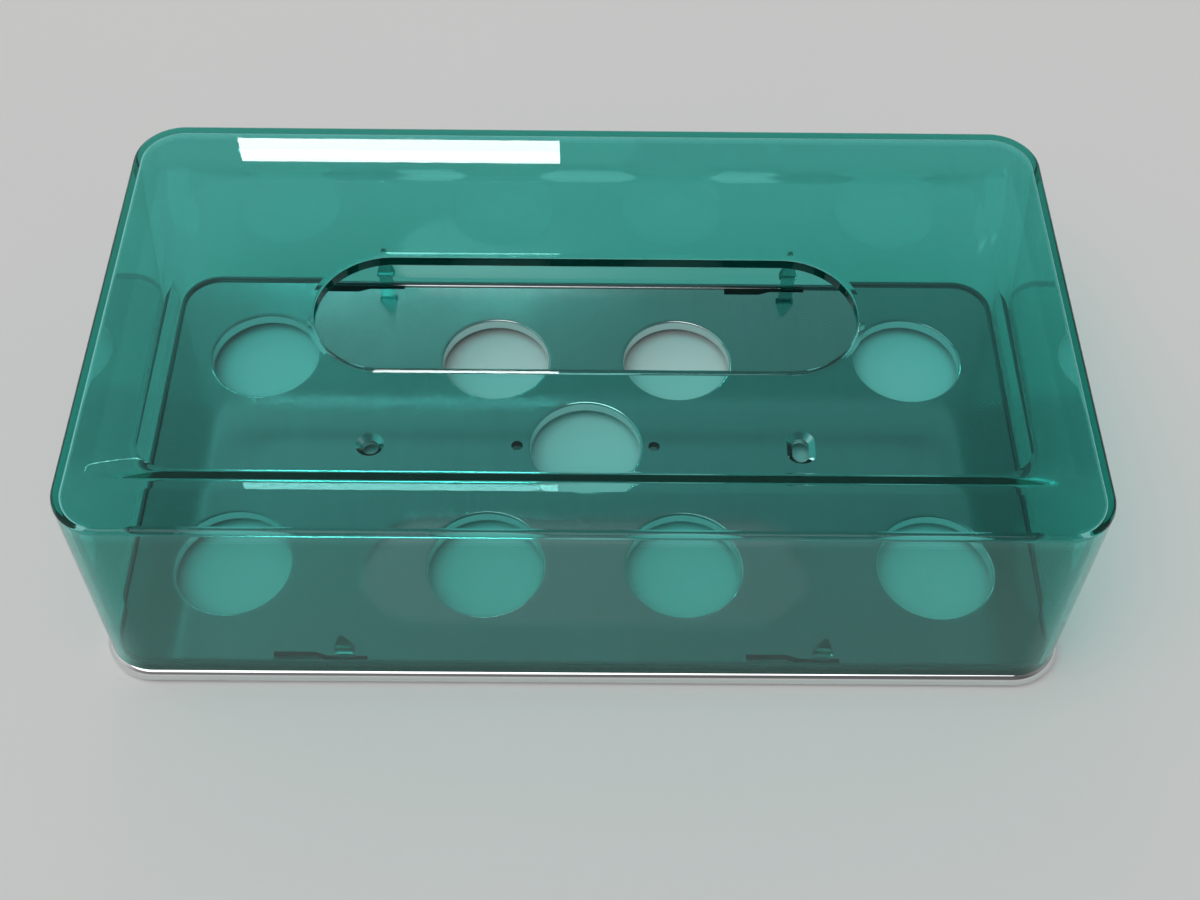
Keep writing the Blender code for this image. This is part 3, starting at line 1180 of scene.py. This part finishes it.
@dataclass
class Catches:
    """The four clear catches on the long walls of the cover."""

    place_x: float = 0.063
    tongue: Triple = (0.0042, 0.0661, 0.0669)
    head: Triple = (0.0056, 0.0659, 0.0684)
    tip: Triple = (0.0012, 0.0679, 0.0684)
    tongue_low: float = 0.0056
    shoulder: float = 0.0125
    peak: float = 0.0210
    edge_round: float = 0.00012
    edge_steps: int = 2
    shortest_edge: float = 0.0004
    smooth_angle: float = 30.0

    def pattern(self) -> Bench:
        """One catch at the back wall, centred on X.

        Returns:
            The work piece.
        """
        width, near, far = self.tongue
        low, high = (-width / 2, near, self.tongue_low), (width / 2, far, self.shoulder)
        piece = Bench.block("catch_pattern", low, high)
        piece.level(self.shoulder, Way.UP)
        size = self.tongue
        for fresh, rise in ((self.head, 0.0), (self.tip, self.peak - self.shoulder)):
            piece.extrude((0.0, 0.0, rise))
            wide = fresh[0] / size[0]
            deep = (fresh[2] - fresh[1]) / (size[2] - size[1])
            piece.scale((wide, deep, 1.0), (0.0, 0.0, self.shoulder))
            piece.shift((0.0, fresh[1] - size[1] * deep, 0.0))
            size = fresh
        piece.edges(lambda a, b: (a - b).length > self.shortest_edge)
        return piece.bevel(self.edge_round, self.edge_steps)

    def build(self) -> dict[str, Item]:
        """Model the four catches.

        Returns:
            Finished pieces by the CAD node each one stands for.
        """
        pattern = self.pattern()
        pieces = {}
        for side in Side:
            for end in End:
                label = f"{side.name.lower()}_{end.name.lower()}"
                place = (end.value * self.place_x, 0.0, 0.0)
                twin = pattern.copy_to(f"catch_{label}", place, side is Side.FRONT)
                pieces["lug_" + label] = twin.finish(self.smooth_angle)
        pattern.discard()
        return pieces

    def dress(self, node: str, item: Item, plastic: Material) -> None:
        """Give a catch its finish and its place in the frame."""
        item.data.materials.clear()
        item.data.materials.append(plastic)
        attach(item, Body.COVER.value)
        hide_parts(node)


@dataclass(frozen=True, kw_only=True)
class Lamp:
    """A lamp that looks at a point."""

    name: str
    place: Triple
    target: Triple = (0.0, 0.0, 0.0)
    radiance: float
    shows_through: bool = True

    def light(self) -> bpy.types.Light:
        """Make the lamp's light."""
        raise NotImplementedError

    def build(self) -> Item:
        """Set the lamp up.

        Returns:
            The lamp object.
        """
        item = bpy.data.objects.new(self.name, self.light())
        bpy.context.scene.collection.objects.link(item)
        item.location = self.place
        aim = Vector(self.target) - Vector(self.place)
        item.rotation_euler = aim.to_track_quat("-Z", "Y").to_euler()
        item.visible_transmission = self.shows_through
        return item


@dataclass(frozen=True, kw_only=True)
class PanelLamp(Lamp):
    """A rectangular lamp."""

    size: Pair

    def light(self) -> bpy.types.Light:
        """Make the panel.

        Returns:
            The light.
        """
        lamp = bpy.data.lights.new(self.name, "AREA")
        lamp.shape = "RECTANGLE"
        lamp.size, lamp.size_y = self.size
        lamp.energy = self.radiance * math.pi * self.size[0] * self.size[1]
        return lamp


@dataclass(frozen=True, kw_only=True)
class WideLamp(Lamp):
    """A soft, even lamp that is far away and wide."""

    spread: float

    def light(self) -> bpy.types.Light:
        """Make the wide light.

        Returns:
            The light.
        """
        lamp = bpy.data.lights.new(self.name, "SUN")
        lamp.angle = math.radians(self.spread)
        lamp.energy = self.radiance * math.pi * math.sin(lamp.angle / 2) ** 2
        return lamp


@dataclass
class Studio:
    """Floor, room light, lamps and the camera."""

    floor_size: float = 40.0
    floor_cuts: int = 3
    overhead_span: Pair = (0.6, 0.9)
    overhead: Pair = (0.47, 0.20)
    sides_span: Pair = (-0.5, 0.5)
    sides: Pair = (1.4, 0.6)
    front_span: Pair = (-0.7, -0.3)
    front: Pair = (0.35, 1.0)
    horizon_span: Pair = (0.08, 0.3)
    backdrop: float = 0.57
    camera_place: Triple = (0.0009605, -0.2872259, 0.3892105)
    camera_pitch: float = 0.9219
    camera_yaw: float = 0.0113
    camera_roll: float = 0.0165
    lens: float = 49.1737
    sensor: float = 36.0
    near_limit: float = 0.01
    window: Lamp = PanelLamp(
        name="window_lamp",
        place=(-0.518, 3.05, 2.8135),
        target=(-0.518, 0.0, 2.8135),
        size=(0.868, 0.083),
        radiance=22.0,
    )
    key: Lamp = WideLamp(
        name="key_lamp",
        place=(-1.0, -1.5, 4.75),
        spread=56.0,
        radiance=1.9,
        shows_through=False,
    )

    def floor(self) -> Item:
        """Lay the pale floor.

        Returns:
            The floor object.
        """
        Bench.clear_selection()
        bpy.ops.mesh.primitive_plane_add(size=self.floor_size)
        piece = Bench("pale_floor")
        piece.faces(lambda centre, normal: True)
        bpy.ops.mesh.subdivide(number_cuts=self.floor_cuts)
        Bench.clear_selection()
        piece.item.data.materials.append(PaleFloor("pale_table").material())
        return piece.item

    def room(self) -> None:
        """Plain room light: paler to the left, dimmer overhead and in front, even at the horizon."""
        world = bpy.data.worlds.new("plain_room")
        bpy.context.scene.world = world
        world.use_nodes = True
        sheet = NodeSheet(world.node_tree, "Generated")
        ways = sheet.axes()
        level = sheet.ramp(ways["Z"], self.overhead_span, self.overhead, smooth=True)
        level = sheet.math("MULTIPLY", level, sheet.ramp(ways["X"], self.sides_span, self.sides))
        level = sheet.math("MULTIPLY", level, sheet.ramp(ways["Y"], self.front_span, self.front))
        rise = sheet.ramp(ways["Z"], self.horizon_span, (0.0, 1.0), smooth=True)
        background = world.node_tree.nodes["Background"]
        background.inputs["Color"].default_value = (1.0, 1.0, 1.0, 1.0)
        sheet.link(sheet.mix(rise, self.backdrop, level, Mix.NUMBER), background.inputs["Strength"])

    def camera(self) -> Item:
        """Set the camera to the photo's viewing angle.

        Returns:
            The camera object.
        """
        pitch, yaw, roll = self.camera_pitch, self.camera_yaw, self.camera_roll
        ahead = Vector((math.sin(yaw) * math.cos(pitch), math.cos(yaw) * math.cos(pitch), -math.sin(pitch)))
        level = Vector((math.cos(yaw), -math.sin(yaw), 0.0))
        upright = level.cross(ahead)
        right = level * math.cos(roll) + upright * math.sin(roll)
        above = upright * math.cos(roll) - level * math.sin(roll)
        lens = bpy.data.cameras.new("photo_camera")
        lens.lens = self.lens
        lens.sensor_width = self.sensor
        lens.clip_start = self.near_limit
        item = bpy.data.objects.new("photo_camera", lens)
        bpy.context.scene.collection.objects.link(item)
        turn = Matrix((right, above, -ahead)).transposed().to_4x4()
        item.matrix_world = Matrix.Translation(self.camera_place) @ turn
        bpy.context.scene.camera = item
        return item

    def build(self) -> None:
        """Set up the whole studio."""
        self.floor()
        self.room()
        for lamp in (self.window, self.key):
            lamp.build()
        self.camera()
        bpy.context.scene.view_settings.view_transform = "Standard"


def report(item: Item) -> None:
    """Log a piece's name and face count."""
    LOG.info("%s: %d faces", item.name, len(item.data.polygons))


def main() -> None:
    """Build, dress and light the tissue box, and log each piece's face count."""
    logging.basicConfig(level=logging.INFO, format="%(name)s %(message)s")
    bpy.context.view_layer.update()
    plastic = TintedPlastic("tinted_clear_plastic").material()
    catch_plastic = CatchPlastic("clear_catch_plastic").material()
    plating = BrightPlating("bright_plating_satin_plate").material()

    cover = Cover()
    shell = cover.build()
    cover.dress(shell, plastic)
    report(shell)

    base = Base()
    tray = base.build()
    base.dress(tray, plating)
    report(tray)

    catches = Catches()
    for node, item in catches.build().items():
        catches.dress(node, item, catch_plastic)
        report(item)

    Studio().build()


if __name__ == "__main__":
    main()
